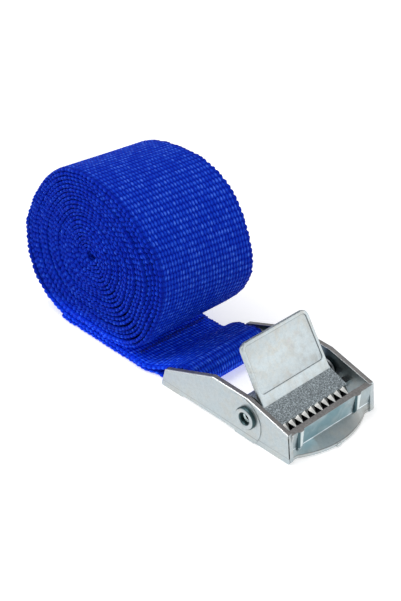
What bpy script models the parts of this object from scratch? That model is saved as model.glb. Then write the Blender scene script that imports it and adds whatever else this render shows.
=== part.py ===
"""Cam buckle lashing strap, lying on a flat surface with its webbing rolled up behind the buckle.

Frame: metres, +X along the strap towards the buckle's mouth, +Z up, the surface at Z = 0.
The origin is the middle of the object's footprint.
Points of the buckle's outlines are (x, z) in millimetres from the lower front corner of its side
walls, and points of the roll's outline are (angle in degrees, radius in millimetres).
"""
import math

import bmesh
import bpy
from mathutils import Matrix, Vector

MM = 0.001
GAP = 0.3 * MM                     # air kept between pieces that touch on the real strap

# Side walls
FRONT_X = 45.95 * MM               # lower front corner of the walls
WALL_OUTER_Y = 14.65 * MM
WALL_THICK = 1.3 * MM
WALL_INNER_Y = WALL_OUTER_Y - WALL_THICK
FOOT_RISE = 0.5                    # how far the walls lift between their two feet
WALL_OUTLINE = [                   # x, z, corner radius
    (0.0, 0.0, 0.9), (-0.75, 8.2, 0.5), (-14.0, 11.65, 2.0), (-25.4, 11.8, 2.0),
    (-41.8, 5.3, 0.5), (-43.3, 0.0, 0.4), (-36.1, 0.0, 0.1), (-35.3, FOOT_RISE, 0.1),
    (-18.4, FOOT_RISE, 0.1), (-17.6, 0.0, 0.1),
]
MERGE = 0.6 * MM                   # how deep a joined piece reaches into its neighbour

# Front wall: a bar on top, a crease, and an apron that runs out to a curved lip
BAR_REAR = -2.6
BAR_FRONT = -0.3
BAR_TOP = 8.15
CREASE_Z = 3.9
LIP_REACH = 2.95                   # of the lip at mid width
LIP_SWEEP = 3.9                    # how far the lip falls back at LIP_HALF_WIDTH
LIP_HALF_WIDTH = 12.5
LIP_MIN = -0.6
LIP_TOP = 1.3
LIP_BOTTOM = 0.25
APRON_THICK = 1.25
APRON_STATIONS = 17
RIB_Y = (-11.1 * MM, 8.6 * MM)
RIB_FRONT = 0.45
RIB_BOTTOM = 2.6
RIB_TOP_WIDTH = 2.4
RIB_FOOT_WIDTH = 1.2

# Rear bar, which the webbing goes round
BAR_X = FRONT_X - 36.6 * MM
BAR_Z = 3.9 * MM
BAR_R = 2.35 * MM

# Pivot pin, a hollow rivet through both walls
PIN_X = FRONT_X - 13.8 * MM
PIN_Z = 6.45 * MM
PIN_R = 2.0 * MM
PIN_BORE_R = 1.45 * MM
PIN_HOLE_R = PIN_R + GAP
HEAD_R = 2.95 * MM
HEAD_THICK = 0.85 * MM
HEAD_EDGE = 0.3 * MM
HEAD_OUT_Y = WALL_OUTER_Y + 0.45 * MM + HEAD_THICK

# Cam lever
LEVER_Y = (-12.6 * MM, 10.2 * MM)  # the spring fills the rest, on the far side
HUB_R = 4.5
CREASE = (-10.7, 9.65)             # where the thumb plate meets the ramp
RAMP_FRONT = (-4.9, 7.5)
CAM_UNDER = [(-5.9, 3.3, 0.4), (-12.6, 2.15, 0.0)]
PLATE_TOP = (-18.85, 23.05)
PLATE_THICK = 1.25 * MM
PLATE_ROOT = 2.4 * MM              # of the plate inside the hub, below the crease
PLATE_CORNER_R = 1.9 * MM
PLATE_TAPER = 0.3 * MM             # each side, at the top
PANEL_DEPTH = 0.25 * MM
PANEL_FROM = 2.7 * MM              # above the crease
PANEL_MARGIN = 0.95 * MM
PANEL_CORNER_R = 0.8 * MM
TEETH = 10
TOOTH_PITCH = 2.23 * MM
TOOTH_ROOT_X = -5.5
TOOTH_TIP_X = -3.0
TOOTH_ROOT_Z = (3.8, 7.45)
TOOTH_TIP_Z = (4.7, 6.55)
TOOTH_TIP_WIDTH = 0.25 * MM

# Torsion spring on the pin, between the lever and the far wall
WIRE_R = 0.35 * MM
COIL_R = PIN_R + GAP + WIRE_R + 0.05 * MM
COIL_Y = (10.85 * MM, 12.7 * MM)
COIL_DEGREES = 810                 # from the arm behind the plate round to the leg under the ledge
COIL_START_DEGREES = 180
COIL_STEP_DEGREES = 20
ARM_ALONG_PLATE = 7.0 * MM
ARM_IN_Y = 7.8 * MM
LEG_FRONT = -8.0
LEDGE_X = (-9.4, -7.3)
LEDGE_Z = (4.5, 5.9)
LEDGE_IN_Y = 11.8 * MM

# Webbing
WEB_WIDTH = 25.0 * MM
WEB_MID_Y = -0.5 * MM
WEB_Y = (WEB_MID_Y - WEB_WIDTH / 2, WEB_MID_Y + WEB_WIDTH / 2)
WEB_THICK = 1.1 * MM
GROUND_CLEAR = 0.05 * MM
LOOP_OUT_R = BAR_R + 0.35 * MM + WEB_THICK
LOOP_IN_R = LOOP_OUT_R - WEB_THICK
LOOP_LEAVES = 120                  # degrees round the bar where the upper ply comes away
SEWN_FROM_X = FRONT_X - 50.5 * MM  # plies lie together from here back
TAIL_END_X = FRONT_X - 82.4 * MM
SEWN_TOP_Z = 2.3 * MM
SEAM_X = (FRONT_X - 54.0 * MM, FRONT_X - 78.5 * MM)
SEAM_WIDTH = 1.4 * MM
SEAM_HALF_LENGTH = 11.3 * MM
SEAM_THICK = 0.35 * MM
SEAM_GROOVE = 0.45 * MM

# Roll of webbing: both ends of it have this outline, and the far one is set forward
ROLL_X = FRONT_X - 69.5 * MM
ROLL_Z = 25.0 * MM
ROLL_Y = (-13.4 * MM, 12.1 * MM)
ROLL_SHEAR = Vector((5.4 * MM, 0, 0.6 * MM))
ROLL_FLOOR_Z = SEWN_TOP_Z + GAP + 0.05 * MM
ROLL_OUTLINE = [
    (0, 25.2), (20, 25.3), (45, 24.2), (75, 23.2), (105, 23.0), (135, 22.5), (160, 23.0),
    (182, 25.1), (204, 26.9), (222, 27.6), (236, 27.0), (305, 25.6), (330, 24.9),
]
ROLL_STEP_DEGREES = 5

METAL = (0.62, 0.66, 0.68, 1.0)
DARK_METAL = (0.40, 0.43, 0.45, 1.0)
SPRING_STEEL = (0.33, 0.34, 0.35, 1.0)
WEB_BLUE = (0.004, 0.03, 0.42, 1.0)
THREAD_BLUE = (0.006, 0.04, 0.36, 1.0)


def from_corner(x, z):
    """A point of the buckle in metres, from its millimetres behind the walls' front corner."""
    return FRONT_X + x * MM, z * MM


def material(name, colour, roughness, metallic):
    made = bpy.data.materials.new(name)
    made.use_nodes = True
    shader = made.node_tree.nodes["Principled BSDF"]
    shader.inputs["Base Color"].default_value = colour
    shader.inputs["Roughness"].default_value = roughness
    shader.inputs["Metallic"].default_value = metallic
    return made


def rounded(corners, steps=4):
    """A closed outline in metres from (x, z, radius) corners in metres, each corner an arc."""
    points = []
    for i, (x, z, radius) in enumerate(corners):
        here = Vector((x, z))
        before = (Vector(corners[i - 1][:2]) - here).normalized()
        after = (Vector(corners[(i + 1) % len(corners)][:2]) - here).normalized()
        half = before.angle(after) / 2
        if radius <= 0:
            points.append(here)
            continue
        middle = here + (before + after).normalized() * radius / math.sin(half)
        start = here + before * radius / math.tan(half) - middle
        end = here + after * radius / math.tan(half) - middle
        turn = start.angle_signed(end)
        for k in range(steps + 1):
            arm = start.copy()
            arm.rotate(Matrix.Rotation(-turn * k / steps, 2))
            points.append(middle + arm)
    return [(p.x, p.y) for p in points]


def arc(centre, radius, start, end, steps):
    """Points on a circle from start to end, in degrees."""
    angles = [math.radians(start + (end - start) * k / steps) for k in range(steps + 1)]
    return [(centre[0] + radius * math.cos(a), centre[1] + radius * math.sin(a)) for a in angles]


def mesh_object(name, mesh, collection):
    made = bpy.data.objects.new(name, mesh)
    collection.objects.link(made)
    return made


def curve_to_mesh(curve_object):
    """Replaces a curve object by a closed mesh object of the same name and place."""
    bpy.context.view_layer.update()
    graph = bpy.context.evaluated_depsgraph_get()
    mesh = bpy.data.meshes.new_from_object(curve_object.evaluated_get(graph))
    mesh.transform(curve_object.matrix_world)
    shape = bmesh.new()
    shape.from_mesh(mesh)
    bmesh.ops.remove_doubles(shape, verts=shape.verts, dist=0.002 * MM)
    bmesh.ops.dissolve_limit(
        shape, angle_limit=math.radians(0.5), verts=shape.verts, edges=shape.edges
    )
    bmesh.ops.recalc_face_normals(shape, faces=shape.faces)
    shape.to_mesh(mesh)
    shape.free()
    name = curve_object.name
    collection = curve_object.users_collection[0]
    bpy.data.objects.remove(curve_object)
    return mesh_object(name, mesh, collection)


def plate_object(name, loops, thickness, matrix, collection):
    """A flat plate: loops are closed outlines in its own plane, the first outside, the rest holes."""
    curve = bpy.data.curves.new(name, "CURVE")
    curve.dimensions = "2D"
    curve.fill_mode = "BOTH"
    curve.extrude = thickness / 2
    for loop in loops:
        spline = curve.splines.new("POLY")
        spline.points.add(len(loop) - 1)
        spline.use_cyclic_u = True
        for point, (u, v) in zip(spline.points, loop):
            point.co = (u, v, 0, 1)
    made = bpy.data.objects.new(name, curve)
    made.matrix_world = matrix
    collection.objects.link(made)
    return curve_to_mesh(made)


def side_plate(name, loops, y_from, y_to, collection):
    """A plate whose outline lies in X and Z, between two Y values."""
    upright = Matrix.Rotation(math.pi / 2, 4, "X")
    matrix = Matrix.Translation((0, (y_from + y_to) / 2, 0)) @ upright
    return plate_object(name, loops, y_to - y_from, matrix, collection)


def box_object(name, low, high, collection):
    shape = bmesh.new()
    bmesh.ops.create_cube(shape, size=1)
    low, high = Vector(low), Vector(high)
    bmesh.ops.scale(shape, vec=high - low, verts=shape.verts)
    bmesh.ops.translate(shape, vec=(low + high) / 2, verts=shape.verts)
    mesh = bpy.data.meshes.new(name)
    shape.to_mesh(mesh)
    shape.free()
    return mesh_object(name, mesh, collection)


def loft_object(name, rings, collection):
    """A closed solid through rings of equal point counts, with flat ends."""
    shape = bmesh.new()
    loops = [[shape.verts.new(p) for p in ring] for ring in rings]
    count = len(rings[0])
    for here, there in zip(loops, loops[1:]):
        for k in range(count):
            following = (k + 1) % count
            shape.faces.new((here[k], here[following], there[following], there[k]))
    shape.faces.new(loops[0])
    shape.faces.new(loops[-1])
    bmesh.ops.recalc_face_normals(shape, faces=shape.faces)
    mesh = bpy.data.meshes.new(name)
    shape.to_mesh(mesh)
    shape.free()
    return mesh_object(name, mesh, collection)


def combine(target, other, operation):
    """Adds an exact Boolean to the target; the other object becomes its guide."""
    change = target.modifiers.new(operation.title() + "_" + other.name, "BOOLEAN")
    change.operation = operation
    change.solver = "EXACT"
    change.object = other
    other.hide_render = True
    other.display_type = "WIRE"


def bevel(target, width, segments, angle=30):
    edge = target.modifiers.new("Edges", "BEVEL")
    edge.width = width
    edge.segments = segments
    edge.limit_method = "ANGLE"
    edge.angle_limit = math.radians(angle)


def finish(target, look, pivot=None, parent=None):
    """Gives a piece its material, smooth shading and its origin."""
    target.data.materials.clear()
    target.data.materials.append(look)
    target.data.shade_smooth()
    target.data.set_sharp_from_angle(angle=math.radians(30))
    if pivot is not None:
        target.data.transform(Matrix.Translation(-Vector(pivot)))
        target.matrix_world = Matrix.Translation(Vector(pivot))
    if parent is not None:
        bpy.context.view_layer.update()
        world = target.matrix_world.copy()
        target.parent = parent
        target.matrix_parent_inverse = parent.matrix_world.inverted()
        target.matrix_world = world


def pivot_empty(name, place, collection, parent=None):
    empty = bpy.data.objects.new(name, None)
    empty.empty_display_size = 5 * MM
    empty.location = place
    collection.objects.link(empty)
    bpy.context.view_layer.update()
    if parent is not None:
        empty.parent = parent
        empty.matrix_parent_inverse = parent.matrix_world.inverted()
    return empty


def side_wall(name, y_from, y_to, collection):
    corners = [(*from_corner(x, z), r * MM) for x, z, r in WALL_OUTLINE]
    return side_plate(name, [rounded(corners)], y_from, y_to, collection)


def front_wall(collection):
    """The front bar with its apron, whose lip curves forward at mid width."""
    reach = WALL_INNER_Y + MERGE
    rings = []
    for k in range(APRON_STATIONS):
        y = -reach + 2 * reach * k / (APRON_STATIONS - 1)
        fall = LIP_SWEEP * (y / (LIP_HALF_WIDTH * MM)) ** 2
        lip = max(LIP_REACH - fall, LIP_MIN)
        section = [
            (BAR_REAR, BAR_TOP), (BAR_FRONT, BAR_TOP), (BAR_FRONT, CREASE_Z), (lip, LIP_TOP),
            (lip, LIP_BOTTOM), (lip - APRON_THICK, LIP_BOTTOM),
            (BAR_FRONT - APRON_THICK, CREASE_Z - 0.5), (BAR_REAR, CREASE_Z),
        ]
        rings.append([(from_corner(x, z)[0], y, z * MM) for x, z in section])
    return loft_object("front_wall", rings, collection)


def front_rib(name, y, collection):
    """An upright rib on the front wall, narrower at its foot."""
    rings = []
    for z, width in ((RIB_BOTTOM, RIB_FOOT_WIDTH), (BAR_TOP - 0.02, RIB_TOP_WIDTH)):
        half = width / 2 * MM
        back = from_corner(BAR_FRONT - 0.8, z)[0]
        front = from_corner(RIB_FRONT, z)[0]
        rings.append([(back, y - half, z * MM), (front, y - half, z * MM),
                      (front, y + half, z * MM), (back, y + half, z * MM)])
    return loft_object(name, rings, collection)


def y_cylinder(name, x, z, radius, y_from, y_to, collection, sides=40):
    shape = bmesh.new()
    bmesh.ops.create_cone(
        shape, cap_ends=True, segments=sides, radius1=radius, radius2=radius, depth=y_to - y_from
    )
    turn = Matrix.Rotation(math.pi / 2, 4, "X")
    place = Matrix.Translation((x, (y_from + y_to) / 2, z))
    bmesh.ops.transform(shape, matrix=place @ turn, verts=shape.verts)
    mesh = bpy.data.meshes.new(name)
    shape.to_mesh(mesh)
    shape.free()
    return mesh_object(name, mesh, collection)


def buckle_frame(parts, tools):
    """One die casting: two walls, the front wall with its ribs, the rear bar and a spring ledge."""
    frame = side_wall("buckle_frame", -WALL_OUTER_Y, -WALL_INNER_Y, parts)
    joined = [
        side_wall("far_wall", WALL_INNER_Y, WALL_OUTER_Y, tools),
        front_wall(tools),
        front_rib("near_rib", RIB_Y[0], tools),
        front_rib("far_rib", RIB_Y[1], tools),
        y_cylinder("rear_bar", BAR_X, BAR_Z, BAR_R, -WALL_INNER_Y - MERGE,
                   WALL_INNER_Y + MERGE, tools, 32),
        box_object("spring_ledge",
                   (from_corner(LEDGE_X[0], 0)[0], LEDGE_IN_Y, LEDGE_Z[0] * MM),
                   (from_corner(LEDGE_X[1], 0)[0], WALL_INNER_Y + MERGE, LEDGE_Z[1] * MM), tools),
    ]
    for piece in joined:
        combine(frame, piece, "UNION")
    hole = y_cylinder("pin_hole", PIN_X, PIN_Z, PIN_HOLE_R, -2 * WALL_OUTER_Y, 2 * WALL_OUTER_Y,
                      tools)
    combine(frame, hole, "DIFFERENCE")
    return frame


def plate_basis():
    """The thumb plate's own frame: u across it, v up it from the crease, w out of its face."""
    crease = Vector((from_corner(*CREASE)[0], 0, CREASE[1] * MM))
    top = Vector((from_corner(*PLATE_TOP)[0], 0, PLATE_TOP[1] * MM))
    up = (top - crease).normalized()
    across = Vector((0, 1, 0))
    out = across.cross(up)
    basis = Matrix((across, up, out)).transposed().to_4x4()
    return Matrix.Translation(crease) @ basis, (top - crease).length


def thumb_plate(tools):
    basis, length = plate_basis()
    low, high = LEVER_Y
    corners = [
        (low, -PLATE_ROOT, 0), (high, -PLATE_ROOT, 0),
        (high - PLATE_TAPER, length, PLATE_CORNER_R), (low + PLATE_TAPER, length, PLATE_CORNER_R),
    ]
    matrix = basis @ Matrix.Translation((0, 0, -PLATE_THICK / 2))
    plate = plate_object("thumb_plate", [rounded(corners, 6)], PLATE_THICK, matrix, tools)
    m = PANEL_MARGIN
    panel = [
        (low + m, PANEL_FROM, PANEL_CORNER_R), (high - m, PANEL_FROM, PANEL_CORNER_R),
        (high - m - PLATE_TAPER, length - m, PANEL_CORNER_R),
        (low + m + PLATE_TAPER, length - m, PANEL_CORNER_R),
    ]
    pocket = plate_object("plate_panel", [rounded(panel)], 2 * PANEL_DEPTH, basis, tools)
    return plate, pocket


def cam_tooth(name, y, tools):
    """A wedge that stands out of the cam's front and narrows to a blunt edge."""
    rings = []
    shapes = ((TOOTH_ROOT_X, TOOTH_ROOT_Z, TOOTH_PITCH * 0.98), (TOOTH_TIP_X, TOOTH_TIP_Z, TOOTH_TIP_WIDTH))
    for x, (z_low, z_high), width in shapes:
        x_here = from_corner(x, 0)[0]
        half = width / 2
        rings.append([(x_here, y - half, z_low * MM), (x_here, y + half, z_low * MM),
                      (x_here, y + half, z_high * MM), (x_here, y - half, z_high * MM)])
    return loft_object(name, rings, tools)


def cam_lever(parts, tools):
    """Hub, toothed cam and thumb plate, one casting that turns on the pin."""
    low, high = LEVER_Y
    cam_corners = [
        (*from_corner(*CREASE), 0), (*from_corner(*RAMP_FRONT), 0.25 * MM),
        *((*from_corner(x, z), r * MM) for x, z, r in CAM_UNDER),
        (PIN_X, PIN_Z, 0),
    ]
    lever = side_plate("cam_lever", [rounded(cam_corners)], low, high, parts)
    hub = y_cylinder("hub", PIN_X, PIN_Z, HUB_R * MM, low, high, tools, 48)
    combine(lever, hub, "UNION")
    plate, pocket = thumb_plate(tools)
    combine(lever, plate, "UNION")
    middle = (low + high) / 2
    for k in range(TEETH):
        y = middle + (k - (TEETH - 1) / 2) * TOOTH_PITCH
        combine(lever, cam_tooth("tooth_%02d" % (k + 1), y, tools), "UNION")
    combine(lever, pocket, "DIFFERENCE")
    hole = y_cylinder("lever_hole", PIN_X, PIN_Z, PIN_HOLE_R, 2 * low, 2 * high, tools)
    combine(lever, hole, "DIFFERENCE")
    return lever


def pivot_pin(parts):
    """A hollow rivet turned round its own axis, with a rolled head at each end."""
    neck = HEAD_OUT_Y - HEAD_THICK
    profile = [
        (PIN_BORE_R, HEAD_OUT_Y), (HEAD_R - HEAD_EDGE, HEAD_OUT_Y), (HEAD_R, HEAD_OUT_Y - HEAD_EDGE),
        (HEAD_R, neck), (PIN_R, neck), (PIN_R, -neck), (HEAD_R, -neck),
        (HEAD_R, -HEAD_OUT_Y + HEAD_EDGE), (HEAD_R - HEAD_EDGE, -HEAD_OUT_Y),
        (PIN_BORE_R, -HEAD_OUT_Y),
    ]
    mesh = bpy.data.meshes.new("pivot_pin")
    count = len(profile)
    mesh.from_pydata([(r, 0, h) for r, h in profile], [(k, (k + 1) % count) for k in range(count)], [])
    pin = mesh_object("pivot_pin", mesh, parts)
    screw = pin.modifiers.new("Turn", "SCREW")
    screw.steps = 36
    screw.render_steps = 36
    screw.use_merge_vertices = True
    screw.merge_threshold = 0.005 * MM
    pin.matrix_world = Matrix.Translation((PIN_X, 0, PIN_Z)) @ Matrix.Rotation(math.pi / 2, 4, "X")
    return pin


def torsion_spring(parts):
    """Wire from behind the thumb plate, round the pin, and forward under the wall's ledge."""
    basis, _ = plate_basis()
    off_plate = PLATE_THICK + GAP + WIRE_R
    behind = basis @ Vector((0, ARM_ALONG_PLATE, -off_plate))
    points = [(behind.x, ARM_IN_Y, behind.z), (behind.x, COIL_Y[0] - 1.0 * MM, behind.z),
              (behind.x, COIL_Y[0], behind.z - 1.0 * MM)]
    steps = COIL_DEGREES // COIL_STEP_DEGREES
    for k in range(steps + 1):
        angle = math.radians(COIL_START_DEGREES + COIL_DEGREES * k / steps)
        y = COIL_Y[0] + (COIL_Y[1] - COIL_Y[0]) * k / steps
        points.append((PIN_X + COIL_R * math.cos(angle), y, PIN_Z + COIL_R * math.sin(angle)))
    points.append((from_corner(LEG_FRONT, 0)[0], COIL_Y[1], PIN_Z - COIL_R))
    curve = bpy.data.curves.new("return_spring", "CURVE")
    curve.dimensions = "3D"
    curve.bevel_depth = WIRE_R
    curve.bevel_resolution = 2
    curve.use_fill_caps = True
    spline = curve.splines.new("POLY")
    spline.points.add(len(points) - 1)
    for point, place in zip(spline.points, points):
        point.co = (*place, 1)
    spring = bpy.data.objects.new("return_spring", curve)
    parts.objects.link(spring)
    return curve_to_mesh(spring)


def upper_ply():
    """Where the upper ply's outside runs from the loop down to the sewn plies, with its normals."""
    leave = math.radians(LOOP_LEAVES)
    start = Vector((BAR_X + LOOP_OUT_R * math.cos(leave), BAR_Z + LOOP_OUT_R * math.sin(leave)))
    end = Vector((SEWN_FROM_X, SEWN_TOP_Z))
    reach = (start - end).length * 0.36
    first = start + reach * Vector((-math.sin(leave), math.cos(leave)))
    second = end + reach * Vector((1, 0))
    outside, normals = [], []
    steps = 12
    for k in range(1, steps + 1):
        t = k / steps
        a, b, c, d = (1 - t) ** 3, 3 * t * (1 - t) ** 2, 3 * t * t * (1 - t), t ** 3
        outside.append(a * start + b * first + c * second + d * end)
        slope = (first - start) * (1 - t) ** 2 + 2 * t * (1 - t) * (second - first)
        slope = (slope + (end - second) * t * t).normalized()
        normals.append(Vector((slope.y, -slope.x)))
    return outside, normals


def webbing_sewn_end(parts, tools):
    """The webbing's fixed end: round the rear bar and back, its two plies sewn together."""
    bar = (BAR_X, BAR_Z)
    low = GROUND_CLEAR
    outside, normals = upper_ply()
    outer = [(TAIL_END_X, low), (BAR_X - 2 * MM, low)]
    outer += arc(bar, LOOP_OUT_R, -90, LOOP_LEAVES, 28)
    outer += [(p.x, p.y) for p in outside]
    outer.append((TAIL_END_X, SEWN_TOP_Z))
    floor = BAR_Z - LOOP_IN_R
    opening = arc(bar, LOOP_IN_R, -90, LOOP_LEAVES, 24)
    for point, normal in zip(outside, normals):
        inner = point - normal * WEB_THICK
        if inner.y > floor + 0.2 * MM:
            opening.append((inner.x, inner.y))
    opening.append((opening[-1][0] - 0.3 * MM, floor))
    made = side_plate("webbing_sewn_end", [outer, opening], WEB_Y[0], WEB_Y[1], parts)
    for k, x in enumerate(SEAM_X):
        groove = box_object(
            "seam_groove_%d" % k,
            (x - SEAM_WIDTH / 2 - GAP, WEB_MID_Y - SEAM_HALF_LENGTH - GAP, SEWN_TOP_Z - SEAM_GROOVE),
            (x + SEAM_WIDTH / 2 + GAP, WEB_MID_Y + SEAM_HALF_LENGTH + GAP, SEWN_TOP_Z + 1 * MM), tools)
        combine(made, groove, "DIFFERENCE")
    return made


def seam(name, x, parts):
    """A row of stitches across the two plies, as one strip of thread."""
    bottom = SEWN_TOP_Z - SEAM_GROOVE + GAP
    return box_object(
        name,
        (x - SEAM_WIDTH / 2, WEB_MID_Y - SEAM_HALF_LENGTH, bottom),
        (x + SEAM_WIDTH / 2, WEB_MID_Y + SEAM_HALF_LENGTH, bottom + SEAM_THICK), parts)


def roll_radius(degrees):
    """The roll's outer radius at an angle, smooth through the outline's own points."""
    count = len(ROLL_OUTLINE)
    for k in range(count):
        a0, r0 = ROLL_OUTLINE[k]
        a1, r1 = ROLL_OUTLINE[(k + 1) % count]
        span = (a1 - a0) % 360
        if (degrees - a0) % 360 < span:
            t = (degrees - a0) % 360 / span
            before = ROLL_OUTLINE[k - 1][1]
            after = ROLL_OUTLINE[(k + 2) % count][1]
            curve = (2 * r0 + (r1 - before) * t + (2 * before - 5 * r0 + 4 * r1 - after) * t * t
                     + (3 * r0 - before - 3 * r1 + after) * t ** 3)
            return curve / 2
    return ROLL_OUTLINE[0][1]


def webbing_roll(parts):
    """The rolled webbing as one solid, flat where it lies on the sewn plies."""
    outline = []
    for degrees in range(0, 360, ROLL_STEP_DEGREES):
        angle = math.radians(degrees)
        radius = roll_radius(degrees) * MM
        x = ROLL_X + radius * math.cos(angle)
        z = ROLL_Z + radius * math.sin(angle)
        outline.append((x, max(z, ROLL_FLOOR_Z)))
    near = [(x, ROLL_Y[0], z) for x, z in outline]
    lift = ROLL_SHEAR
    far = [(x + lift.x, ROLL_Y[1], z + lift.z * (z - ROLL_FLOOR_Z) / ROLL_Z) for x, z in outline]
    return loft_object("webbing_roll", [near, far], parts)


def main():
    for thing in list(bpy.data.objects):
        bpy.data.objects.remove(thing)
    parts = bpy.data.collections.new("cam_buckle_strap")
    tools = bpy.data.collections.new("cutters")
    bpy.context.scene.collection.children.link(parts)
    bpy.context.scene.collection.children.link(tools)

    zinc = material("zinc_plated", METAL, 0.3, 1.0)
    lever_zinc = material("zinc_plated_cam", DARK_METAL, 0.35, 1.0)
    steel = material("spring_steel", SPRING_STEEL, 0.35, 1.0)
    blue = material("blue_webbing", WEB_BLUE, 0.6, 0.0)
    thread = material("blue_thread", THREAD_BLUE, 0.6, 0.0)

    bar_axis = (BAR_X, 0, BAR_Z)
    pin_axis = (PIN_X, 0, PIN_Z)
    buckle_pivot = pivot_empty("buckle_swing_axis", bar_axis, parts)
    lever_pivot = pivot_empty("lever_axis", pin_axis, parts, buckle_pivot)

    finish(buckle_frame(parts, tools), zinc, bar_axis, buckle_pivot)
    finish(pivot_pin(parts), zinc, None, buckle_pivot)
    finish(torsion_spring(parts), steel, pin_axis, buckle_pivot)
    finish(cam_lever(parts, tools), lever_zinc, pin_axis, lever_pivot)
    finish(webbing_sewn_end(parts, tools), blue)
    finish(webbing_roll(parts), blue)
    for name, x in zip(("seam_front", "seam_rear"), SEAM_X):
        finish(seam(name, x, parts), thread)


main()
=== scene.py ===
"""Looks of the cam buckle lashing strap: zinc-plated castings, and blue webbing wound into a roll.

The frame is the part's own: metres, +X towards the buckle's mouth, +Z up, the surface at Z = 0.
Outlines are in millimetres behind the lower front corner of the buckle's walls, as (x, z).
"""
import math

import bmesh
import bpy
import numpy as np
from mathutils import Matrix, Vector


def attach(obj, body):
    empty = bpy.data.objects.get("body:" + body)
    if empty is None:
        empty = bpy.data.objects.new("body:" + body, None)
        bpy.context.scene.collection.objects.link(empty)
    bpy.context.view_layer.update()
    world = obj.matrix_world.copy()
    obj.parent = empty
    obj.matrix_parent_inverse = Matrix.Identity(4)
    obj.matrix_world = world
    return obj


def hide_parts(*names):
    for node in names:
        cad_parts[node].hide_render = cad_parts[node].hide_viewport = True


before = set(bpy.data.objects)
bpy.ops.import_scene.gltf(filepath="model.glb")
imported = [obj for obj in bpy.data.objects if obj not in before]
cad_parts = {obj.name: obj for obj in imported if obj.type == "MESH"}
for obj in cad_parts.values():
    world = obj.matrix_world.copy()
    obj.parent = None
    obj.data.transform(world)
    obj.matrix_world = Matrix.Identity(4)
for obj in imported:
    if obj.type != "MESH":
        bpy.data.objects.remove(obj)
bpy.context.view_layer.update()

MM = 0.001
FRONT_X = 45.95                       # mm, the walls' lower front corner in the part's frame

# Camera
CAMERA_PLACE = (181.4, -218.6, 229.6)
CAMERA_AZIMUTH = 45.95
CAMERA_ELEVATION = 34.05
CAMERA_FOCAL_SHARE = 1550 / 601       # focal length over the picture's long side

# Walls
WALL_OUTER_Y = 14.65
WALL_INNER_Y = 13.35
ROOT_Y = WALL_INNER_Y + 0.5           # what lies between the walls runs a little into them
WALL_OUTLINE = [
    (0.0, 0.0, 0.9), (-0.75, 8.2, 0.5), (-14.0, 11.65, 2.0), (-25.4, 11.8, 2.0),
    (-41.8, 5.3, 0.5), (-43.3, 0.0, 0.4), (-36.1, 0.0, 0.1), (-35.3, 0.5, 0.1),
    (-18.4, 0.5, 0.1), (-17.6, 0.0, 0.1),
]
BAND_Z = 1.7                          # the casting's parting line runs this high
FOLD_Z = 3.15                         # the crease in the front wall, and its fall along Y
FOLD_FALL = 0.02
PANEL_LEAN = 0.113                    # how much the front panel leans back, for its height
PAD = (-15.8, 4.9)
PAD_R = 6.54
PIN = (-13.8, 6.45)
BAR = (-36.6, 3.9)
BAR_R = 2.35

# Cam lever
LEVER_Y = (-12.6, 10.2)
CREASE = (-10.7, 9.65)
PLATE_TOP = (-18.85, 23.05)
PLATE_THICK = 1.25
PLATE_TAPER = 0.3                     # the plate's sides lean in this much by its top
PANEL_MARGIN = 0.95
PANEL_FOOT = 2.7
RAMP_END = (-5.3, 7.61)               # where the ramp ends and the teeth begin
TOOTH_PITCH = 2.23
TEETH = 10
PIN_HOLE_R = 2.3

# Webbing
WEB_HALF = 12.5
WEB_THICK = 1.0
WEB_MIDDLE_Y = -0.5
PICK = 1.45                           # a rib along the webbing
END = 0.8                             # a warp yarn across it
FLOAT_LONG = 0.62                     # half length of a yarn's float, in picks
FLOAT_WIDE = 0.55                     # half width of it, in ends
FLOAT_SLANT = 0.28
LOOP_R = 3.25                         # middle of the webbing, round the bar
LOOP_LEAVES = 120
LOW_PLY_Z = 0.65
TOP_PLY_Z = 1.8
TAIL_X = -82.2
SEWN_FROM_X = -50.5
ROLL = (-69.5, 25.0)
ROLL_NEAR_Y = -13.4
ROLL_WIDTH = 25.5
ROLL_SHEAR = (5.4, 0.9)
# How much tighter the roll is wound at its far end, by degrees round its centre
FAR_END_TAPER = [
    (-100, 0.0), (-90, 0.005), (-78, 0.035), (-66, 0.09), (-55, 0.125), (-45, 0.135), (-36, 0.10),
    (-28, 0.045), (-20, 0.0), (-6, -0.035), (5, -0.022), (18, -0.005), (30, -0.02), (42, -0.045),
    (52, -0.035), (68, 0.0), (80, 0.035), (95, 0.068), (110, 0.062), (125, 0.02), (150, 0.0), (260, 0.0),
]
NEAR_SPREAD = 1.1                     # the near edge bulges out this far behind the walls
FAR_EDGE_RISE = 1.5                   # the far edge rises this much before it reaches the bar
TURNS = 20.6
EYE_R = 1.4
ROLL_R = 24.0                         # the roll's radius, for sharing out its loose places
TURN_LONG = 150.0                     # webbing in a usual turn, and in the outermost one
OUTER_TURN_LONG = 152
PAST_LOOP = 8                         # the webbing is clear of the loop this far along
TAIL_POINTS = 60                      # points on the lower ply, round the bar, and on the top ply
LOOP_POINTS = 80
PLY_POINTS = 59


# ---------------------------------------------------------------- helpers

def smoothstep(low, high, x):
    t = np.clip((np.asarray(x, float) - low) / (high - low), 0, 1)
    return t * t * (3 - 2 * t)


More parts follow.
